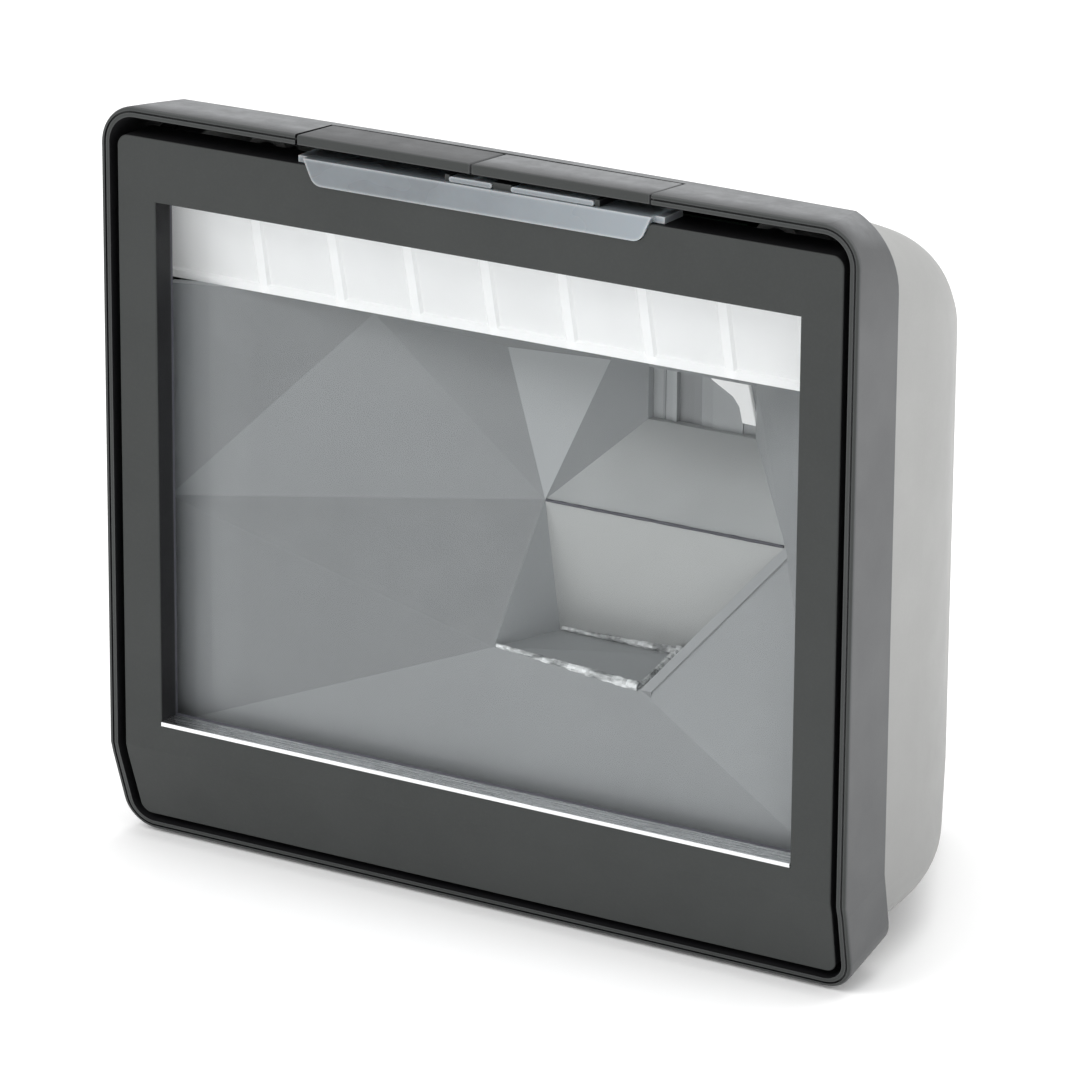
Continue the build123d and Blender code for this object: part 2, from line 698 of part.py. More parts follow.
def optics_points():
    """Corners of the faceted tub: x, depth and height."""
    rim = GLASS_WIDTH / 2
    ridge_z = 76.8
    mirror_foot_z = 51.2
    aperture_low = 91.2
    aperture_high = 101.6
    return {
        "rim_nw": (-rim, RIM_DEPTH, ROOF + PANEL),
        "rim_w": (-rim, RIM_DEPTH, 69.0),
        "rim_sw": (-rim, RIM_DEPTH, 22.0),
        "rim_se": (rim, RIM_DEPTH, 22.0),
        "rim_e": (rim, RIM_DEPTH, ridge_z),
        "rim_ne": (rim, RIM_DEPTH, ROOF + PANEL),
        "gusset": (-35.1, 22.0, 109.1),
        "gusset_roof": (-35.1, 22.0, ROOF + PANEL),
        "fin_a": (-9.8, 30.0, 104.5),
        "fin_a_roof": (-9.8, 30.0, ROOF + PANEL),
        "fin_b": (9.5, 36.0, 103.6),
        "fin_b_roof": (9.5, 36.0, ROOF + PANEL),
        "aperture_nw": (14.5, APERTURE_DEPTH, aperture_high),
        "aperture_sw": (14.5, APERTURE_DEPTH, aperture_low),
        "aperture_se": (38.2, APERTURE_DEPTH, aperture_low),
        "aperture_ne": (38.2, APERTURE_DEPTH, aperture_high),
        "aperture_nw_roof": (14.5, APERTURE_DEPTH, ROOF + PANEL),
        "aperture_ne_roof": (38.2, APERTURE_DEPTH, ROOF + PANEL),
        "ridge_w": (1.0, RIDGE_DEPTH, ridge_z),
        "ridge_e": (53.8, RIDGE_DEPTH, ridge_z),
        "mirror_w": (4.6, RIDGE_DEPTH, mirror_foot_z),
        "mirror_e": (31.5, RIDGE_DEPTH, mirror_foot_z),
        "crest_w": (-1.0, CREST_DEPTH, 51.0),
        "crest_e": (31.5, CREST_DEPTH, 48.6),
        "mirror_w_low": (4.6, RIDGE_DEPTH, mirror_foot_z - PANEL),
        "mirror_e_low": (31.5, RIDGE_DEPTH, mirror_foot_z - PANEL),
        "crest_w_low": (-1.0, CREST_DEPTH, 51.0 - PANEL),
        "crest_e_low": (31.5, CREST_DEPTH, 48.6 - PANEL),
    }


def panel(names, push=(0, 1, 0), thickness=PANEL):
    """A flat facet between named corners, given thickness in one direction."""
    corners = optics_points()
    loop = Wire.make_polygon([Vector(*at(*corners[name])) for name in names])
    return extrude(Face(loop), thickness, dir=push)


def rear_facing_facets():
    """Facets of the tub that face the window."""
    return [
        ("rim_w", "gusset", "gusset_roof", "rim_nw"),
        ("rim_w", "gusset", "ridge_w"),
        ("rim_w", "ridge_w", "crest_w"),
        ("rim_w", "crest_w", "rim_sw"),
        ("gusset", "fin_a", "ridge_w"),
        ("gusset", "gusset_roof", "fin_a_roof", "fin_a"),
        ("fin_a", "fin_b", "ridge_w"),
        ("fin_a", "fin_a_roof", "fin_b_roof", "fin_b"),
        ("fin_b", "aperture_nw", "ridge_w"),
        ("aperture_nw", "aperture_sw", "ridge_w"),
        ("fin_b", "fin_b_roof", "aperture_nw_roof", "aperture_nw"),
        ("aperture_nw", "aperture_nw_roof", "aperture_ne_roof", "aperture_ne"),
        ("aperture_ne", "aperture_se", "ridge_e"),
        ("aperture_ne", "ridge_e", "rim_e"),
        ("aperture_ne", "rim_e", "rim_ne"),
        ("aperture_ne", "rim_ne", "aperture_ne_roof"),
        ("ridge_e", "rim_se", "rim_e"),
        ("ridge_e", "crest_e", "rim_se"),
        ("crest_w", "crest_e", "rim_se"),
        ("crest_w", "rim_se", "rim_sw"),
    ]


def optics_tub():
    """The faceted inner moulding that screens the optics, open at the mirrors and the camera."""
    tub = panel(("ridge_w", "mirror_w", "crest_w"), push=(-1, 0, 0))
    tub += panel(("ridge_e", "mirror_e", "crest_e"), push=(1, 0, 0))
    tub += panel(("mirror_w", "crest_w", "crest_w_low", "mirror_w_low"), push=(-1, 0, 0))
    tub += panel(("mirror_e", "crest_e", "crest_e_low", "mirror_e_low"), push=(1, 0, 0))
    tub += panel(("crest_w", "crest_e", "mirror_e"), push=(0, 0, -1))
    tub += panel(("crest_w", "mirror_e", "mirror_w"), push=(0, 0, -1))
    for names in rear_facing_facets():
        tub += panel(names)
    corners = ("rim_nw", "gusset", "fin_a", "fin_b", "aperture_nw", "aperture_ne", "rim_ne")
    roof = [name if name.startswith("rim") else name + "_roof" for name in corners]
    tub += panel(roof, push=(0, 0, -1))
    lamp_space = block(DIFFUSER_LEFT - 1, DIFFUSER_RIGHT + 0.5, 0, LED_BOARD_DEPTH + 2.2,
                       REFLECTOR_BOTTOM - 0.3, REACH)
    tub -= lamp_space
    return tub


def upper_mirror():
    return panel(("aperture_sw", "aperture_se", "ridge_e", "ridge_w"), thickness=MIRROR_THICKNESS)


def lower_mirror():
    return panel(("ridge_w", "ridge_e", "mirror_e", "mirror_w"), thickness=MIRROR_THICKNESS)


def camera_shroud():
    """A dark box behind the tub's opening that holds the lens."""
    front = APERTURE_DEPTH + PANEL
    rear = front + SHROUD_LENGTH
    body = block(SHROUD_LEFT, SHROUD_RIGHT, front, rear, SHROUD_LOW, SHROUD_HIGH)
    body -= block(SHROUD_LEFT + SHROUD_WALL, SHROUD_RIGHT - SHROUD_WALL, front - 1, rear - SHROUD_WALL,
                  SHROUD_LOW + SHROUD_WALL, SHROUD_HIGH - SHROUD_WALL)
    return body - rod_y(LENS_X, LENS_Z, BARREL_RADIUS + FIT_GAP, front, front + CAMERA_LENGTH)


def lens_barrel():
    front = APERTURE_DEPTH + PANEL
    body = rod_y(LENS_X, LENS_Z, BARREL_RADIUS, front + 7, front + 17)
    return body - rod_y(LENS_X, LENS_Z, LENS_RADIUS + 0.1, front + 6, front + 21)


def camera_lens():
    """The front lens, a domed disc seated in the barrel."""
    front = APERTURE_DEPTH + PANEL
    disc = rod_y(LENS_X, LENS_Z, LENS_RADIUS, front + 7.4, front + 10)
    return disc & (Pos(LENS_X, FRONT + front + 7.4 + LENS_CURVE, LENS_Z) * Sphere(LENS_CURVE))


def image_sensor():
    front = APERTURE_DEPTH + PANEL + CAMERA_LENGTH
    return block(LENS_X - SENSOR_HALF_WIDTH, LENS_X + SENSOR_HALF_WIDTH, front - 2, front,
                 LENS_Z - SENSOR_HALF_HEIGHT, LENS_Z + SENSOR_HALF_HEIGHT)


def camera_board():
    front = APERTURE_DEPTH + PANEL + CAMERA_LENGTH
    return block(LENS_X - 17, LENS_X + 13, front, front + BOARD_THICKNESS, 84, 110)


def camera_flex():
    """The flat cable from the camera board back to the main board."""
    front = APERTURE_DEPTH + PANEL + CAMERA_LENGTH + BOARD_THICKNESS
    return block(LENS_X - 9, LENS_X + 5, front, MAIN_BOARD_DEPTH, 86, 86 + FLEX_THICKNESS)


def main_board():
    rear = MAIN_BOARD_DEPTH + BOARD_THICKNESS
    board = block(-BOARD_HALF, BOARD_HALF, MAIN_BOARD_DEPTH, rear, BOARD_LOW, BOARD_HIGH)
    for x, z in standoff_places():
        board -= rod_y(x, z, SCREW_RADIUS + 0.1, MAIN_BOARD_DEPTH - 1, rear + 1)
    return board


def board_screws():
    screws = []
    for x, z in standoff_places():
        head = rod_y(x, z, 2.6, MAIN_BOARD_DEPTH - 1.8, MAIN_BOARD_DEPTH)
        screws.append(head + rod_y(x, z, SCREW_RADIUS, MAIN_BOARD_DEPTH, MAIN_BOARD_DEPTH + 8))
    return Compound(children=screws)


def processor():
    return block(-9, 7, MAIN_BOARD_DEPTH - 1.4, MAIN_BOARD_DEPTH, 52, 68)


def heat_spreader():
    """A finned plate on the processor."""
    front = MAIN_BOARD_DEPTH - 1.4
    plate = block(-13, 11, front - 1.5, front, 48, 72)
    for x in range(-12, 11, FIN_PITCH):
        plate += block(x, x + FIN_WIDTH, front - 6, front - 1.4, 48, 72)
    return plate


def board_parts():
    """Memory, supply and driver packages on the main board."""
    rear = MAIN_BOARD_DEPTH + BOARD_THICKNESS
    parts = [
        block(20, 31, MAIN_BOARD_DEPTH - 1.2, MAIN_BOARD_DEPTH, 54, 66),
        block(-32, -20, MAIN_BOARD_DEPTH - 4.5, MAIN_BOARD_DEPTH, 20, 32),
        block(-30, -22, rear, rear + 1.6, 50, 58),
        block(16, 28, rear, rear + 4.0, 38, 48),
    ]
    for x in (-8.0, 2.0):
        parts.append(rod_y(x, 40.0, 3.2, rear, rear + 6))
    return Compound(children=parts)


def modular_jack(name):
    """A board-mounted modular socket that opens to the rear."""
    left, right = jack_spans()[name]
    body = block(left, right, JACK_FRONT, JACK_REAR, JACK_LOW, JACK_HIGH)
    inner = block(left + JACK_LIP, right - JACK_LIP, JACK_FRONT + 3, JACK_REAR + 1,
                  JACK_LOW + 2.4, JACK_HIGH - 3.4)
    latch = block((left + right) / 2 - 2.2, (left + right) / 2 + 2.2, JACK_FRONT + 3, JACK_REAR + 1,
                  JACK_HIGH - 4, JACK_HIGH - 1.2)
    return body - inner - latch


def speaker_frame():
    ring = rod_y(0, SPEAKER_HEIGHT, SPEAKER_RADIUS, DEPTH - 8.5, DEPTH - HOUSING_WALL - 0.3)
    ring -= rod_y(0, SPEAKER_HEIGHT, SPEAKER_RADIUS - 2, DEPTH - 7.3, DEPTH)
    return ring - rod_y(0, SPEAKER_HEIGHT, MAGNET_RADIUS + FIT_GAP, DEPTH - 9, DEPTH)


def speaker_cone():
    """The speaker's shallow paper cone."""
    rear = DEPTH - HOUSING_WALL - 1.4
    facing = Pos(0, FRONT + rear - 1.0, SPEAKER_HEIGHT) * Rot(90, 0, 0)
    disc = facing * Cone(CONE_RADIUS, CONE_NECK, CONE_LENGTH)
    hollow = facing * Pos(0, 0, -CONE_WALL) * Cone(CONE_RADIUS - 0.4, CONE_NECK - CONE_WALL, CONE_LENGTH)
    return disc - hollow


def speaker_magnet():
    return rod_y(0, SPEAKER_HEIGHT, MAGNET_RADIUS, MAIN_BOARD_DEPTH + BOARD_THICKNESS + 1, DEPTH - REAR_CUT)


def build():
    """Every sub-part by its node name."""
    parts = {
        "side_band": side_band(),
        "front_bezel": front_bezel(),
        "sill_trim": sill_trim(),
        "window_gasket": window_gasket(),
        "window_glass": window_glass(),
        "rear_housing": rear_housing(),
        "rubber_feet": rubber_feet(),
        "case_screws": case_screws(),
        "mounting_inserts": mounting_inserts(),
        "label_plate": label_plate(),
        "light_pipe": light_pipe(),
        "status_tab": status_tab(),
        "status_windows": status_windows(),
        "key_switches": key_switches(),
        "key_board": key_board(),
        "status_lamps": status_lamps(),
        "light_diffuser": light_diffuser(),
        "led_board": led_board(),
        "illumination_leds": illumination_leds(),
        "optics_tub": optics_tub(),
        "upper_mirror": upper_mirror(),
        "lower_mirror": lower_mirror(),
        "camera_shroud": camera_shroud(),
        "lens_barrel": lens_barrel(),
        "camera_lens": camera_lens(),
        "image_sensor": image_sensor(),
        "camera_board": camera_board(),
        "camera_flex": camera_flex(),
        "main_board": main_board(),
        "board_screws": board_screws(),
        "processor": processor(),
        "heat_spreader": heat_spreader(),
        "board_parts": board_parts(),
        "speaker_frame": speaker_frame(),
        "speaker_cone": speaker_cone(),
        "speaker_magnet": speaker_magnet(),
    }
    for name in jack_spans():
        parts[name] = modular_jack(name)
    for side in ("left", "right"):
        parts[side + "_key"] = key(side)
        parts[side + "_plunger"] = plunger(side)
    return parts


os.makedirs("parts", exist_ok=True)
for node, shape in build().items():
    export_step(shape, os.path.join("parts", node + ".step"))
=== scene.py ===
"""Looks of the upright single-window barcode scanner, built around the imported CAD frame."""
import json
import math

import bpy
from mathutils import Matrix, Vector, noise


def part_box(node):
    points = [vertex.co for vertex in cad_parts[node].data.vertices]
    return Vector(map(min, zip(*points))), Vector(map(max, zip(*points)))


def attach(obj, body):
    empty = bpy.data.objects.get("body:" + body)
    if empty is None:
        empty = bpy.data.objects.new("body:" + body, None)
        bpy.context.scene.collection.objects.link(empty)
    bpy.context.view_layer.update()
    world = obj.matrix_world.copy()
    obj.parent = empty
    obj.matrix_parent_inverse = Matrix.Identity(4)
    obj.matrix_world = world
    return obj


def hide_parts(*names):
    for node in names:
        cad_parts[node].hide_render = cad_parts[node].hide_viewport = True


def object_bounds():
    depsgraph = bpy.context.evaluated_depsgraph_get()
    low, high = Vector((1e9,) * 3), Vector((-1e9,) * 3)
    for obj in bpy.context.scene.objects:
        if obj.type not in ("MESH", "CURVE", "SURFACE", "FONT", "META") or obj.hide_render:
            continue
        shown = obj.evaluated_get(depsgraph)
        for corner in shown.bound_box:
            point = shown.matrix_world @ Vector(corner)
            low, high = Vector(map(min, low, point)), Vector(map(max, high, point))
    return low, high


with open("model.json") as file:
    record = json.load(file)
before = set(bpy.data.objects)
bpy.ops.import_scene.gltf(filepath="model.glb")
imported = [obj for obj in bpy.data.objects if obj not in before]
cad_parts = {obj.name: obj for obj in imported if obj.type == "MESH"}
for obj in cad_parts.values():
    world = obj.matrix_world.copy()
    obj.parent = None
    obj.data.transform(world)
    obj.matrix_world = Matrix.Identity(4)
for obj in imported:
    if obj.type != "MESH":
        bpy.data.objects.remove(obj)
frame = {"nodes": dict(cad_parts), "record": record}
CAD_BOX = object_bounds()
NODES = frame["nodes"]
BODY = "case"
# Name of the face attribute that carries painted shade
PAINTED_SHADE = "tone"
FRONT = CAD_BOX[0][1]
HALF = CAD_BOX[1][0]
TOP = CAD_BOX[1][2]
MIDDLE = (0.0, 0.0, TOP / 2)
MM = 0.001
NOISE_SPAN = (0.3, 0.7)

# Colours of the mouldings
PLATE = (0.036, 0.039, 0.038)
BAND = (0.112, 0.115, 0.118)
HOUSING = (0.335, 0.336, 0.33)
INNER = (0.29, 0.302, 0.307)
PIPE = (0.154, 0.173, 0.189)
# Painted highlight on the light strip's rims
PIPE_EDGE_HIGHLIGHT = (0.6, 0.63, 0.64)
OPAL_DARK = (0.83, 0.835, 0.83)
OPAL_LIGHT = (0.88, 0.885, 0.88)
# Clear adhesive drawn with painted glints, from dark grey to near white
ADHESIVE_DARK = (0.26, 0.275, 0.275)
ADHESIVE_GLINT = (0.92, 0.94, 0.94)
# One mirror finish in two silvers: the upper mirror drawn lighter than the lower as painted reflection
LOWER_SILVER = (0.385, 0.395, 0.39)
UPPER_SILVER = (0.55, 0.565, 0.565)
# Black painted as shade into gaps, reveals and hidden insides
SHADE_BLACK = (0.008, 0.008, 0.009)
# Painted light that lifts the inner moulding near the case's left edge
LEFT_EDGE_LIGHT = 1.35
# Share of the painted top light given to the left key, drawing its top darker
LEFT_KEY_TOP_LIGHT = 0.5

# Light diffuser. A rib is points of (place across, rise, shade); a row is (share of the height, rise, shade).
# The shades are painted light and shade: rib tops lighter than their flanks, cells darker, the lip lighter.
CELL_PITCH = 17.15 * MM
FIRST_RIB = -53.9 * MM
CELL_DISH = 0.1 * MM
CELL_SHADE = 0.93
EDGE_SHADE = 0.94
RIB_RISE = 0.4 * MM
SLANT = 0.6 * MM
DIFFUSER_THICKNESS = 2.6 * MM
DIFFUSER_WALL = 1.2 * MM
RIB_SECTION = [
    (-1.2 * MM, 0.0, 0.98), (-0.6 * MM, RIB_RISE, 1.03), (0.6 * MM, RIB_RISE, 0.97), (1.2 * MM, 0.0, 0.935),
]
DIFFUSER_ROWS = [
    (0.0, RIB_RISE, 1.06), (0.06, RIB_RISE, 1.06), (0.075, 0.0, 0.99), (0.9, 0.0, 0.99), (1.0, 0.0, 0.99),
]

# Beads of adhesive, and the seam between the mirrors
BEAD_SIDES = 9
FOOT_START = 4.4 * MM
FOOT_END = 30.0 * MM
FOOT_PROUD = 0.3 * MM
FOOT_LIFT = 0.6 * MM
CREST_DEPTH = 11.9 * MM
CREST_START = Vector((-0.6 * MM, CREST_DEPTH, 0.1 * MM))
CREST_END = Vector((31.0 * MM, CREST_DEPTH, -2.2 * MM))
SIDE_START = Vector((0.2 * MM, 1.2 * MM, 0.5 * MM))
SIDE_END = Vector((1.0 * MM, -0.6 * MM, 0.2 * MM))
SIDE_RINGS = 26
SEAM_RADIUS = 0.32 * MM
SEAM_INSET = 0.3 * MM
SEAM_PROUD = 0.1 * MM
SEAM_RINGS = 30
SEAM_SIDES = 8

# Behind the camera's opening, in mm: ribs of (width, depth, painted shade) from the left, and the prism's
# outline
INSERT_DEPTH = 42.4 * MM
RIBS_LEFT = 14.6 * MM
RIBS_FLOOR = 91.0 * MM
RIBS_ROOF = 102.0 * MM
RIB_WALL = 0.4 * MM
RIBS = [
    (2.4, 1.0, 1.2), (0.5, 0.7, 0.95), (1.7, 0.9, 1.3), (0.9, 0.5, 1.4), (3.4, 1.6, 0.85),
    (1.9, 1.3, 0.9), (2.6, 1.0, 1.15), (6.6, 0.7, 1.25), (3.2, 1.1, 1.1),
]
# Painted shade on the step between one rib and the next
STEP_SHADE = 0.85
PRISM_OUTLINE = [
    (27.0, 102.4), (36.0, 101.6), (37.9, 93.4), (34.7, 93.5), (34.0, 96.6), (32.6, 98.4), (27.9, 101.0),
]
PRISM_PROUD = 0.1 * MM
PRISM_DEPTH = 1.0 * MM
PRISM_EDGE = 0.25 * MM

# Camera (radians and metres), as the photograph was taken
CAMERA_YAW = 0.55574
CAMERA_PITCH = 0.31785
CAMERA_ROLL = 0.00688
CAMERA_DISTANCE = 1.21127
CAMERA_TARGET = Vector((0.0163, -0.0485, 0.0787))
SENSOR = 36.0
LENS = 216.88


# ---------------------------------------------------------------- node helpers

class Shader:
    """A material's node tree with short calls for the nodes used here."""

    def __init__(self, name):
        self.material = bpy.data.materials.new(name)
        self.material.use_nodes = True
        self.tree = self.material.node_tree
        self.surface = self.tree.nodes["Principled BSDF"]
        self.output = self.tree.nodes["Material Output"]
        self.place = self.node("ShaderNodeTexCoord").outputs["Object"]

    def node(self, kind, inputs=None, **settings):
        made = self.tree.nodes.new(kind)
        for key, value in settings.items():
            setattr(made, key, value)
        for key, value in (inputs or {}).items():
            self.feed(made.inputs[key], value)
        return made

    def feed(self, socket, value):
        if isinstance(value, bpy.types.NodeSocket):
            self.tree.links.new(value, socket)
        elif isinstance(value, tuple) and len(value) == 3 and socket.type == "RGBA":
            socket.default_value = (*value, 1.0)
        else:
            socket.default_value = value

    def set(self, **values):
        """Sets sockets of the surface shader; underscores stand for spaces."""
        for key, value in values.items():
            self.feed(self.surface.inputs[key.replace("_", " ")], value)

    def noise(self, scale, detail=2.0, roughness=0.5, place=None):
        inputs = {"Vector": place or self.place, "Scale": scale, "Detail": detail, "Roughness": roughness}
        return self.node("ShaderNodeTexNoise", inputs).outputs["Fac"]

    def span(self, value, low, high, start=0.0, end=1.0):
        """Maps a value from start..end onto low..high."""
        inputs = {"Value": value, "From Min": start, "From Max": end, "To Min": low, "To Max": high}
        return self.node("ShaderNodeMapRange", inputs, clamp=True).outputs["Result"]

    def varied(self, low, high, scale, detail=2.0, roughness=0.5):
        """Noise spread over low..high."""
        return self.span(self.noise(scale, detail, roughness), low, high, *NOISE_SPAN)

    def mottled(self, colour, dark, light, scale, detail, roughness=0.5):
        """A colour that drifts between dark and light times itself."""
        share = self.varied(0.0, 1.0, scale, detail, roughness)
        return self.mix(share, tinted(colour, dark), tinted(colour, light))

    def math(self, operation, a, b=0.0):
        made = self.node("ShaderNodeMath", operation=operation)
        self.feed(made.inputs[0], a)
        self.feed(made.inputs[1], b)
        return made.outputs[0]

    def mix(self, share, a, b):
        made = self.node("ShaderNodeMix", data_type="RGBA", blend_type="MIX")
        self.feed(made.inputs[0], share)
        self.feed(made.inputs[6], a)
        self.feed(made.inputs[7], b)
        return made.outputs[2]

    def bump(self, height, strength, distance):
        inputs = {"Height": height, "Strength": strength, "Distance": distance}
        return self.node("ShaderNodeBump", inputs).outputs["Normal"]

    def edges(self, radius):
        """1 near sharp edges and 0 on flats, from how far a bevel would turn the surface."""
        rounded = self.node("ShaderNodeBevel", {"Radius": radius}, samples=6).outputs["Normal"]
        plain = self.node("ShaderNodeNewGeometry").outputs["Normal"]
        dot = self.node("ShaderNodeVectorMath", operation="DOT_PRODUCT")
        self.feed(dot.inputs[0], rounded)
        self.feed(dot.inputs[1], plain)
        return self.span(self.math("SUBTRACT", 1.0, dot.outputs["Value"]), 0.0, 1.0, 0.0, 0.25)

    def facing(self, direction):
        """How squarely the surface looks along a direction, from -1 to 1."""
        dot = self.node("ShaderNodeVectorMath", operation="DOT_PRODUCT")
        self.feed(dot.inputs[0], self.node("ShaderNodeNewGeometry").outputs["Normal"])
        self.feed(dot.inputs[1], direction)
        return dot.outputs["Value"]

    def looking_in(self):
        """1 on faces that look in towards the middle of the front, 0 on the others."""
        outward = self.node("ShaderNodeVectorMath", operation="SUBTRACT")
        self.feed(outward.inputs[0], self.place)
        self.feed(outward.inputs[1], MIDDLE)
        flat = self.node("ShaderNodeVectorMath", operation="MULTIPLY")
        self.feed(flat.inputs[0], outward.outputs[0])
        self.feed(flat.inputs[1], (1.0, 0.0, 1.0))
        return self.span(self.facing(flat.outputs[0]), 1.0, 0.0, -0.01, -0.002)

    def coordinate(self, axis):
        split = self.node("ShaderNodeSeparateXYZ", {"Vector": self.place})
        return split.outputs[axis]

    def tone(self):
        """The painted shade that a built mesh carries for each of its faces."""
        return self.node("ShaderNodeAttribute", attribute_name=PAINTED_SHADE).outputs["Fac"]

    def scaled(self, colour, factor):
        """A colour times a factor that varies over the surface."""
        made = self.node("ShaderNodeVectorMath", operation="SCALE")
        self.feed(made.inputs[0], colour)
        self.feed(made.inputs["Scale"], factor)
        return made.outputs[0]


def rear_of_band():
    """How far back the trim band reaches above its fold."""
    points = [vertex.co for vertex in NODES["side_band"].data.vertices]
    return max(point.y for point in points if point.z > TOP / 2)


def tinted(colour, factor):
    return tuple(min(c * factor, 1.0) for c in colour)


# ---------------------------------------------------------------- materials

def shell_finish(s, body, roughness, grain):
    """Gloss, smudges and fine spark grain shared by the outer mouldings."""
    s.set(Base_Color=body, Roughness=s.varied(roughness - 0.06, roughness + 0.06, 95.0, 4.0, 0.55))
    height = s.math("ADD", s.noise(2600.0, 2.0, 0.55), s.math("MULTIPLY", s.noise(700.0, 1.0), 0.6))
    s.set(Normal=s.bump(height, grain, 0.00006), Specular_IOR_Level=0.3)
    return s.material


def face_plate(name):
    """The plate is charcoal in front; where it looks into the gap or the window it is painted black as shade,
    and its edges get a painted highlight.
    """
    s = Shader(name)
    body = s.mottled(PLATE, 0.95, 1.05, 22.0, 3.0)
    speckle = s.noise(1900.0, 2.0, 0.6)
    body = s.mix(s.span(speckle, 0.0, 0.2, 0.45, 0.75), body, tinted(PLATE, 1.4))
    # Painted shade: faces that look into the gap or the window turn black
    front = s.span(s.facing((0.0, -1.0, 0.0)), 0.0, 1.0, 0.3, 0.6)
    body = s.mix(front, SHADE_BLACK, body)
    # Painted highlight along the plate's edges
    body = s.mix(s.math("MULTIPLY", s.edges(0.0006), 0.55), body, tinted(PLATE, 2.0))
    return shell_finish(s, body, 0.55, 0.35)


def trim_band(name, top_light_factor=1.0):
    """The band is one dark plastic drawn with painted light and shade: charcoal on its front rim, paler on
    the sides, palest on top and darker towards the top's front edge, with a painted highlight on its edges
    and painted black shade inside.
    """
    s = Shader(name)
    side = s.mottled(BAND, 0.95, 1.05, 26.0, 3.0)
    height = s.coordinate("Z")
    side = s.mix(s.span(height, 0.0, 1.0, TOP - 22 * MM, TOP - 6 * MM), side, tinted(BAND, 0.8))
    side = s.mix(s.span(height, 1.0, 0.0, 5 * MM, 60 * MM), side, tinted(BAND, 0.72))
    # Painted light: the top is drawn lighter, as lit from above, with a random mottle in it
    top_mottle = s.span(s.noise(240.0, 5.0, 0.7), 0.0, 1.0, 0.35, 0.7)
    lit_top = s.mix(top_mottle, tinted(BAND, 1.35 * top_light_factor), tinted(BAND, 2.0 * top_light_factor))
    # Painted shade: the top darkens towards its front edge
    from_front = s.math("SUBTRACT", s.coordinate("Y"), FRONT)
    rear_share = s.span(from_front, 0.0, 1.0, 0.5 * MM, 6.0 * MM)
    lit_top = s.mix(rear_share, tinted(BAND, 0.5), lit_top)
    body = s.mix(s.span(s.facing((0.0, 0.0, 1.0)), 0.0, 1.0, 0.5, 0.9), side, lit_top)
    # Painted shade: front-facing faces take the plate's charcoal
    body = s.mix(s.span(s.facing((0.0, -1.0, 0.0)), 0.0, 1.0, 0.5, 0.85), body, PLATE)
    # Painted highlight along the edges
    body = s.mix(s.math("MULTIPLY", s.edges(0.0005), 0.5), body, tinted(BAND, 0.95))
    # Painted black shade on faces that look in
    body = s.mix(s.looking_in(), body, SHADE_BLACK)
    return shell_finish(s, body, 0.5, 0.3)


def housing_shell(name):
    """Pale grey housing, darker near its base, with painted black shade on the sleeve where it plugs into the
    band and on the inner walls near it, and a painted highlight on its edges.
    """
    s = Shader(name)
    body = s.mottled(HOUSING, 0.96, 1.03, 16.0, 3.0)
    speckle = s.noise(1900.0, 2.0, 0.6)
    body = s.mix(s.span(speckle, 0.0, 0.15, 0.45, 0.75), body, tinted(HOUSING, 1.15))
    body = s.mix(s.span(s.coordinate("Z"), 1.0, 0.0, 0.0, 70 * MM), body, tinted(HOUSING, 0.74))
    # Painted highlight along the edges
    body = s.mix(s.math("MULTIPLY", s.edges(0.0006), 0.5), body, tinted(HOUSING, 1.12))
    # Painted shade: the sleeve inside the band and the inward-looking walls near it turn black
    band_rear = rear_of_band()
    sleeve = s.span(s.coordinate("Y"), 1.0, 0.0, band_rear - 0.2 * MM, band_rear - 0.05 * MM)
    near_band = s.span(s.coordinate("Y"), 1.0, 0.0, band_rear + 5 * MM, band_rear + 6 * MM)
    inside = s.math("MAXIMUM", sleeve, s.math("MULTIPLY", s.looking_in(), near_band))
    body = s.mix(inside, body, SHADE_BLACK)
    return shell_finish(s, body, 0.52, 0.3)


def plain_gloss(name, colour, roughness, metallic=0.0):
    """A smooth finish with slight smears in tone and gloss."""
    s = Shader(name)
    s.set(Base_Color=s.mottled(colour, 0.95, 1.05, 120.0, 4.0, 0.6), Metallic=metallic)
    s.set(Roughness=s.varied(roughness * 0.8, roughness * 1.25, 360.0, 3.0))
    s.set(Normal=s.bump(s.noise(960.0, 2.0), 0.08, 0.00003))
    return s.material


def window_pane(name):
    """Clear flat glass that lets lamps through and mirrors a little."""
    s = Shader(name)
    clear = s.node("ShaderNodeBsdfTransparent", {"Color": (0.985, 0.988, 0.99)}).outputs[0]
    film = s.varied(0.02, 0.05, 35.0, 4.0)
    mirror = s.node("ShaderNodeBsdfGlossy", {"Color": (0.9, 0.92, 0.94), "Roughness": film}).outputs[0]
    facing = s.node("ShaderNodeFresnel", {"IOR": 1.2}).outputs[0]
    mixed = s.node("ShaderNodeMixShader", {0: facing, 1: clear, 2: mirror}).outputs[0]
    s.feed(s.output.inputs["Surface"], mixed)
    s.tree.nodes.remove(s.surface)
    return s.material


def inner_moulding(name):
    """Smooth mid-grey inner moulding, faintly mottled, its facets differing in painted shade, with painted
    light lifting it near the left edge.
    """
    s = Shader(name)
    body = s.mottled(INNER, 0.965, 1.035, 30.0, 4.0, 0.55)
    # Painted light near the left edge, times the painted shade each face carries
    left_edge_light = s.span(s.coordinate("X"), LEFT_EDGE_LIGHT, 1.0, -HALF + 10 * MM, -HALF + 26 * MM)
    body = s.scaled(body, s.math("MULTIPLY", s.tone(), left_edge_light))
    s.set(Base_Color=body, Roughness=s.varied(0.42, 0.56, 160.0, 3.0))
    s.set(Normal=s.bump(s.noise(300.0, 1.0), 0.02, 0.00002), Specular_IOR_Level=0.45)
    return s.material


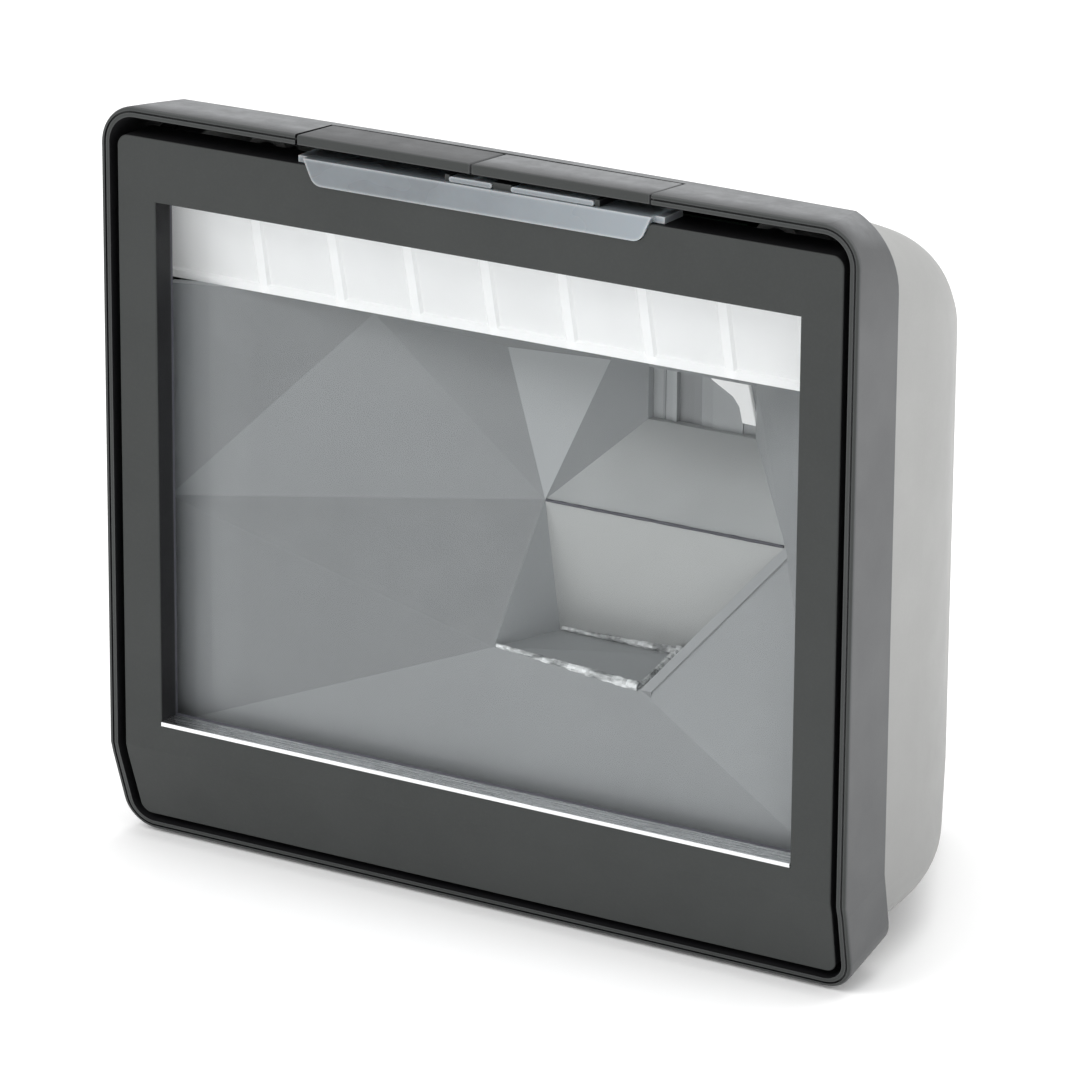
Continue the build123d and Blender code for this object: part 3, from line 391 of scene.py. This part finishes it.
def diffuser_white(name):
    """Opal white sheet that glows faintly with the room's light behind it."""
    s = Shader(name)
    cloud = s.noise(45.0, 3.0)
    body = s.mix(s.span(cloud, 0.0, 1.0, 0.35, 0.65), OPAL_DARK, OPAL_LIGHT)
    body = s.scaled(body, s.tone())
    s.set(Base_Color=body, Roughness=0.35, Emission_Color=body, Emission_Strength=0.2)
    s.set(Normal=s.bump(s.noise(500.0, 2.0), 0.05, 0.00005))
    return s.material


def mirror_face(name, colour):
    """A hazy front-surface mirror."""
    s = Shader(name)
    haze = s.noise(70.0, 4.0)
    body = s.mix(s.span(haze, 0.0, 1.0, *NOISE_SPAN), tinted(colour, 0.97), tinted(colour, 1.03))
    s.set(Base_Color=body, Metallic=0.25, Roughness=s.span(haze, 0.3, 0.4, *NOISE_SPAN))
    return s.material


def frosted_pipe(name):
    """Translucent light strip: cloudy core, lighter to the right, with a painted highlight along its rims."""
    s = Shader(name)
    cloud = s.span(s.noise(120.0, 3.0, 0.6), 0.0, 1.0, 0.35, 0.7)
    body = s.mix(cloud, tinted(PIPE, 0.9), tinted(PIPE, 1.12))
    body = s.mix(s.span(s.coordinate("X"), 0.0, 1.0, -10 * MM, 38 * MM), body, tinted(PIPE, 1.7))
    # Painted highlight along the rims
    body = s.mix(s.math("MULTIPLY", s.edges(0.0011), 0.5), body, PIPE_EDGE_HIGHLIGHT)
    s.set(Base_Color=body, Roughness=s.varied(0.22, 0.34, 60.0, 2.0))
    s.set(Coat_Weight=0.3, Coat_Roughness=0.12, Subsurface_Weight=0.1, Subsurface_Scale=0.002)
    s.set(Normal=s.bump(s.noise(400.0, 2.0), 0.08, 0.00005))
    return s.material


def beaded_glass(name):
    """Clear adhesive and chipped glass: pale, lumpy and wet looking, with painted glints running from dark
    grey to near white.
    """
    s = Shader(name)
    streaked = s.node("ShaderNodeMapping", {"Vector": s.place, "Scale": (0.3, 1.0, 1.0)}).outputs[0]
    lumps = s.noise(520.0, 3.0, 0.55, streaked)
    # Painted glints in lumps, times each face's painted shade
    body = s.mix(s.span(lumps, 0.0, 1.0, 0.38, 0.56), ADHESIVE_DARK, ADHESIVE_GLINT)
    s.set(Base_Color=s.scaled(body, s.tone()), Roughness=0.12, Coat_Weight=0.5, Coat_Roughness=0.05)
    s.set(Normal=s.bump(lumps, 0.5, 0.0003))
    return s.material


def brushed_metal(name, colour, roughness):
    """Metal drawn along X."""
    s = Shader(name)
    stretched = s.node("ShaderNodeMapping", {"Vector": s.place, "Scale": (1.0, 40.0, 40.0)}).outputs[0]
    streak = s.noise(120.0, 3.0, 0.6, stretched)
    body = s.mix(s.span(streak, 0.0, 1.0, *NOISE_SPAN), tinted(colour, 0.93), tinted(colour, 1.05))
    s.set(Base_Color=body, Metallic=1.0)
    s.set(Roughness=s.span(streak, roughness * 0.8, roughness * 1.3, *NOISE_SPAN))
    s.set(Normal=s.bump(streak, 0.08, 0.00004))
    return s.material


def circuit_board(name):
    """Green solder mask with faint traces."""
    s = Shader(name)
    brick = {"Vector": s.place, "Scale": 260.0, "Mortar Size": 0.06, "Color1": (0.02, 0.11, 0.055),
             "Color2": (0.018, 0.095, 0.05), "Mortar": (0.035, 0.17, 0.085)}
    body = s.node("ShaderNodeTexBrick", brick).outputs["Color"]
    s.set(Base_Color=body, Roughness=0.3, Coat_Weight=0.3, Coat_Roughness=0.15)
    s.set(Normal=s.bump(s.noise(800.0, 1.0), 0.1, 0.00004))
    return s.material


MATERIALS = {
    "dark_shell": face_plate("dark_shell"),
    "band_plastic": trim_band("band_plastic"),
    "grey_shell": housing_shell("grey_shell"),
    "inner_shell": inner_moulding("inner_shell"),
    "window_glass": window_pane("window_glass"),
    "lens_glass": plain_gloss("lens_glass", (0.03, 0.035, 0.06), 0.06, metallic=0.3),
    "clear_plastic": frosted_pipe("clear_plastic"),
    "lamp_white": plain_gloss("lamp_white", (0.85, 0.85, 0.8), 0.3),
    "diffuser_white": diffuser_white("diffuser_white"),
    "sill_metal": brushed_metal("sill_metal", (0.86, 0.87, 0.88), 0.25),
    "seal_rubber": plain_gloss("seal_rubber", (0.075, 0.075, 0.09), 0.6),
    "foot_rubber": plain_gloss("foot_rubber", (0.035, 0.035, 0.037), 0.75),
    "mirror_face": mirror_face("mirror_face", LOWER_SILVER),
    "board_green": circuit_board("board_green"),
    "chip_black": plain_gloss("chip_black", (0.025, 0.025, 0.027), 0.5),
    "steel": brushed_metal("steel", (0.6, 0.6, 0.61), 0.35),
    "heatsink": brushed_metal("heatsink", (0.62, 0.63, 0.64), 0.4),
    "brass_insert": brushed_metal("brass_insert", (0.75, 0.56, 0.26), 0.3),
    "flex_film": plain_gloss("flex_film", (0.5, 0.27, 0.05), 0.3),
    "paper_cone": plain_gloss("paper_cone", (0.05, 0.05, 0.05), 0.8),
    "plate_silver": plain_gloss("plate_silver", (0.62, 0.63, 0.64), 0.35),
}
UPPER_MIRROR = mirror_face("mirror_face_upper", UPPER_SILVER)
LEFT_KEY = trim_band("left_key_plastic", LEFT_KEY_TOP_LIGHT)
CAMERA_CHAMBER = inner_moulding("camera_chamber")
BEADED_GLASS = beaded_glass("beaded_glass")

SLOT_OF = {row["node"]: row["material_slot"] for row in frame["record"]["subparts"]}


def paint(piece, material):
    piece.data.materials.clear()
    piece.data.materials.append(material)


for node_name, node in NODES.items():
    paint(node, MATERIALS[SLOT_OF[node_name]])
paint(NODES["upper_mirror"], UPPER_MIRROR)
paint(NODES["left_key"], LEFT_KEY)


# ---------------------------------------------------------------- built pieces

def add_piece(name, mesh, material, replaced=()):
    """Links a finished mesh as a piece of the case."""
    piece = bpy.data.objects.new(name, mesh)
    bpy.context.scene.collection.objects.link(piece)
    paint(piece, material)
    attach(piece, BODY)
    if replaced:
        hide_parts(*replaced)
    return piece


def set_tones(mesh, tones):
    """Stores one painted shade for each face."""
    attribute = mesh.attributes.new(PAINTED_SHADE, "FLOAT", "FACE")
    for index, tone in enumerate(tones):
        attribute.data[index].value = tone


def facet_tone(normal, centre):
    """Painted shade of a facet of the tub, by where it looks and where it lies, standing in for how the light
    falls on it.
    """
    tilted_up = normal.z > 0.2
    fin = -10 * MM < centre.x < 15 * MM
    rules = [
        (normal.z > 0.9, 1.2),  # ledge below the lower mirror
        (normal.x < -0.5, 1.12),  # right-hand wall
        (normal.x > 0.85, 1.5),  # cheek left of the lower mirror
        (normal.x > 0.5, 1.15),  # cheek left of the camera's opening
        (tilted_up and fin, 1.5),  # bright fin above the mirrors' left corner
        (tilted_up and centre.x > 30 * MM, 1.2),  # facet right of the ledge
        (abs(normal.z) < 0.02 and normal.x > 0.2, 0.78),  # upright walls at the upper left
        (normal.z > 0.06 and abs(normal.x) < 0.02, 1.03),  # apron above the sill
        (centre.z < 70 * MM, 0.82),  # lower left
    ]
    return next((tone for applies, tone in rules if applies), 0.96)


def make_tub():
    """The faceted tub, as the frame has it, with a painted shade for each facet."""
    mesh = NODES["optics_tub"].data.copy()
    set_tones(mesh, [facet_tone(face.normal, face.center) for face in mesh.polygons])
    slot = SLOT_OF["optics_tub"]
    add_piece("tub_shell", mesh, MATERIALS[slot], ("optics_tub",))


def thicken(piece, wall):
    """Gives an open sheet a wall behind its face."""
    modifier = piece.modifiers.new("thickness", "SOLIDIFY")
    modifier.thickness = wall
    modifier.offset = -1.0


def grid_faces(rows, columns, closed=True):
    """Quads of a grid of rows by columns of points, joined end to end across when closed."""
    faces = []
    for row in range(rows - 1):
        for column in range(columns if closed else columns - 1):
            after = (column + 1) % columns
            here, there = row * columns, (row + 1) * columns
            faces.append((here + column, here + after, there + after, there + column))
    return faces


def diffuser_section():
    """Across the diffuser: place along X, rise above the cell floor, painted shade of the strip that follows.
    """
    low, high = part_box("light_diffuser")
    section = [(low[0], 0.0, EDGE_SHADE)]
    edge = FIRST_RIB
    while edge < high[0] - CELL_PITCH / 4:
        for offset, rise, shade in RIB_SECTION:
            section.append((edge + offset, rise, shade))
        middle = edge + CELL_PITCH / 2
        if middle < high[0]:
            section.append((middle, -CELL_DISH, CELL_SHADE))
        edge += CELL_PITCH
    section.append((high[0], 0.0, EDGE_SHADE))
    return section


def make_diffuser():
    """The white cell panel: shallow dished cells between thin ribs, with a lip below; ribs and lip painted
    lighter, cells painted darker.
    """
    low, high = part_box("light_diffuser")
    section = diffuser_section()
    foot = Vector((0.0, high[1] - DIFFUSER_THICKNESS, low[2]))
    head = Vector((0.0, low[1], high[2]))
    out = Vector((0.0, -(head - foot).z, (head - foot).y)).normalized()
    points = []
    for share, lip, _ in DIFFUSER_ROWS:
        spine = foot.lerp(head, share)
        for x, rise, _ in section:
            slant = SLANT * (1.0 - share) if x < FIRST_RIB + CELL_PITCH / 2 else 0.0
            points.append(spine + Vector((x - slant, 0.0, 0.0)) + out * (max(rise, lip) - RIB_RISE))
    faces = grid_faces(len(DIFFUSER_ROWS), len(section), closed=False)
    mesh = bpy.data.meshes.new("diffuser_panel")
    mesh.from_pydata(points, [], [tuple(reversed(face)) for face in faces])
    set_tones(mesh, [row[2] * strip[2] for row in DIFFUSER_ROWS[:-1] for strip in section[:-1]])
    slot = SLOT_OF["light_diffuser"]
    thicken(add_piece("diffuser_panel", mesh, MATERIALS[slot], ("light_diffuser",)), DIFFUSER_WALL)


def bead_points(start, end, radius, count, sides, swell):
    """Rings of an uneven bead from one point to another; swell gives the radius along it."""
    along = (end - start).normalized()
    across = along.cross(Vector((0.0, 0.0, 1.0))).normalized()
    up = across.cross(along)
    points = []
    for ring in range(count):
        share = ring / (count - 1)
        for side in range(sides):
            turn = 2 * math.pi * side / sides
            wobble = noise.noise(Vector((ring * 0.9, side * 1.3, start.x * 900)))
            reach = radius * swell(share) * (1.0 + 0.35 * wobble)
            spot = start.lerp(end, share) + across * (reach * math.cos(turn)) + up * (reach * math.sin(turn))
            points.append(spot)
    return points


def tube(name, start, end, radius, swell, count, sides):
    """A closed uneven tube from one point to another."""
    faces = grid_faces(count, sides)
    faces.append(tuple(reversed(range(sides))))
    faces.append(tuple(range((count - 1) * sides, count * sides)))
    mesh = bpy.data.meshes.new(name)
    mesh.from_pydata(bead_points(start, end, radius, count, sides, swell), [], faces)
    return mesh


def make_bead(name, start, end, radius, swell, shade, count=40):
    """A lumpy bead of clear adhesive along an edge, its faces carrying patchy painted glints scaled by shade.
    """
    mesh = tube(name, start, end, radius, swell, count, BEAD_SIDES)
    patches = [noise.noise(Vector((index * 0.37, 0.0, radius * 900))) for index in range(len(mesh.polygons))]
    set_tones(mesh, [shade * (0.8 + 0.35 * patch) for patch in patches])
    add_piece(name, mesh, BEADED_GLASS)


def make_beads():
    """Adhesive along the foot of the lower mirror, the front of its ledge and the ledge's right side."""
    corner = Vector(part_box("lower_mirror")[0])
    foot_left = corner + Vector((FOOT_START, -FOOT_PROUD, FOOT_LIFT))
    foot_right = corner + Vector((FOOT_END, -FOOT_PROUD, FOOT_LIFT))
    make_bead("foot_bead", foot_left, foot_right, 0.55 * MM, lambda t: 0.8 + 1.0 * t * t, 0.9)
    ledge = Vector((0.0, FRONT, corner.z))
    crest_right = ledge + CREST_END
    make_bead("crest_bead", ledge + CREST_START, crest_right, 0.6 * MM, lambda t: 0.7 + 1.0 * t, 1.25)
    side_low, side_high = crest_right + SIDE_START, foot_right + SIDE_END
    make_bead("side_bead", side_low, side_high, 0.9 * MM, lambda t: 0.5 + 1.1 * t, 0.85, SIDE_RINGS)


def make_mirror_joint():
    """The dark seam where the two mirrors meet."""
    low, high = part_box("lower_mirror")
    start = Vector((low[0] + SEAM_INSET, low[1] - SEAM_PROUD, high[2]))
    end = Vector((high[0] - SEAM_INSET, low[1] - SEAM_PROUD, high[2]))
    mesh = tube("mirror_seam", start, end, SEAM_RADIUS, lambda t: 1.0, SEAM_RINGS, SEAM_SIDES)
    add_piece("mirror_seam", mesh, MATERIALS["seal_rubber"])


def make_camera_ribs():
    """Upright ribs behind the camera's opening, each a flat face with a step to the next, each with its
    painted shade.
    """
    points, tones = [], []
    x = RIBS_LEFT
    for width, depth, shade in RIBS:
        for spot in (x, x + width * MM):
            for z in (RIBS_FLOOR, RIBS_ROOF):
                points.append(Vector((spot, FRONT + INSERT_DEPTH + depth * MM, z)))
        tones += [shade, shade * STEP_SHADE]
        x += width * MM
    quads = []
    for base in range(0, 2 * (2 * len(RIBS) - 1), 2):
        quads.append((base, base + 2, base + 3, base + 1))
    mesh = bpy.data.meshes.new("camera_ribs")
    mesh.from_pydata(points, [], quads)
    set_tones(mesh, tones[:-1])
    thicken(add_piece("camera_ribs", mesh, CAMERA_CHAMBER), RIB_WALL)


def make_prism():
    """The prism beside the lens: an upright bright face with a slanting roof."""
    near_y = FRONT + INSERT_DEPTH + PRISM_PROUD
    near = [Vector((x * MM, near_y, z * MM)) for x, z in PRISM_OUTLINE]
    far = [point + Vector((0.0, PRISM_DEPTH, 0.0)) for point in near]
    count = len(PRISM_OUTLINE)
    faces = [tuple(range(count)), tuple(reversed(range(count, 2 * count)))]
    for index in range(count):
        after = (index + 1) % count
        faces.append((index, index + count, after + count, after))
    mesh = bpy.data.meshes.new("camera_prism")
    mesh.from_pydata(near + far, [], faces)
    set_tones(mesh, [1.0] * len(faces))
    # Drawn in the diffuser's glowing white: painted glow on a part that is no lamp
    piece = add_piece("camera_prism", mesh, MATERIALS["diffuser_white"])
    soften = piece.modifiers.new("soft_edges", "BEVEL")
    soften.width = PRISM_EDGE
    soften.segments = 2


make_tub()
make_diffuser()
make_beads()
make_mirror_joint()
make_camera_ribs()
make_prism()


# ---------------------------------------------------------------- room

def make_camera():
    """The camera of the photograph, turned about the point that it looks at."""
    back = Vector((
        math.sin(CAMERA_YAW) * math.cos(CAMERA_PITCH),
        -math.cos(CAMERA_YAW) * math.cos(CAMERA_PITCH),
        math.sin(CAMERA_PITCH),
    ))
    right = Vector((math.cos(CAMERA_YAW), math.sin(CAMERA_YAW), 0.0))
    up = back.cross(right)
    turn = Matrix.Rotation(CAMERA_ROLL, 3, back)
    right = turn @ right
    up = turn @ up
    data = bpy.data.cameras.new("camera")
    data.sensor_width = SENSOR
    data.lens = LENS
    data.clip_start = 0.01
    camera = bpy.data.objects.new("camera", data)
    rotation = Matrix((right, up, back)).transposed().to_4x4()
    camera.matrix_world = Matrix.Translation(CAMERA_TARGET + CAMERA_DISTANCE * back) @ rotation
    bpy.context.scene.collection.objects.link(camera)
    bpy.context.scene.camera = camera


def make_floor():
    """A white sweep under the scanner."""
    reach = 30.0
    mesh = bpy.data.meshes.new("floor")
    corners = [(-reach, -reach, 0), (reach, -reach, 0), (reach, reach, 0), (-reach, reach, 0)]
    mesh.from_pydata(corners, [], [(0, 1, 2, 3)])
    floor = bpy.data.objects.new("floor", mesh)
    s = Shader("floor_white")
    s.set(Base_Color=(0.95, 0.95, 0.95), Roughness=0.9)
    s.set(Emission_Color=(1.0, 1.0, 1.0), Emission_Strength=0.05)
    mesh.materials.append(s.material)
    bpy.context.scene.collection.objects.link(floor)


def area_light(name, place, aim, side, power):
    """A square lamp that looks at a point."""
    data = bpy.data.lights.new(name, "AREA")
    data.shape = "SQUARE"
    data.size = side
    data.energy = power
    light = bpy.data.objects.new(name, data)
    light.location = place
    light.rotation_euler = (Vector(aim) - Vector(place)).to_track_quat("-Z", "Y").to_euler()
    bpy.context.scene.collection.objects.link(light)


def make_room():
    """An even white room with a key lamp in front, one at the side and one above."""
    world = bpy.data.worlds.new("studio")
    bpy.context.scene.world = world
    world.use_nodes = True
    background = world.node_tree.nodes["Background"]
    background.inputs["Color"].default_value = (1.0, 1.0, 1.0, 1.0)
    background.inputs["Strength"].default_value = 0.75
    centre = (0.0, 0.0, 0.08)
    area_light("key_light", (-0.7, -1.3, 1.5), centre, 1.2, 16.0)
    area_light("side_light", (1.6, -0.1, 0.7), centre, 1.0, 6.0)
    area_light("top_light", (0.1, 0.3, 1.6), centre, 1.2, 14.0)
    bpy.context.scene.view_settings.view_transform = "Standard"


make_camera()
make_floor()
make_room()
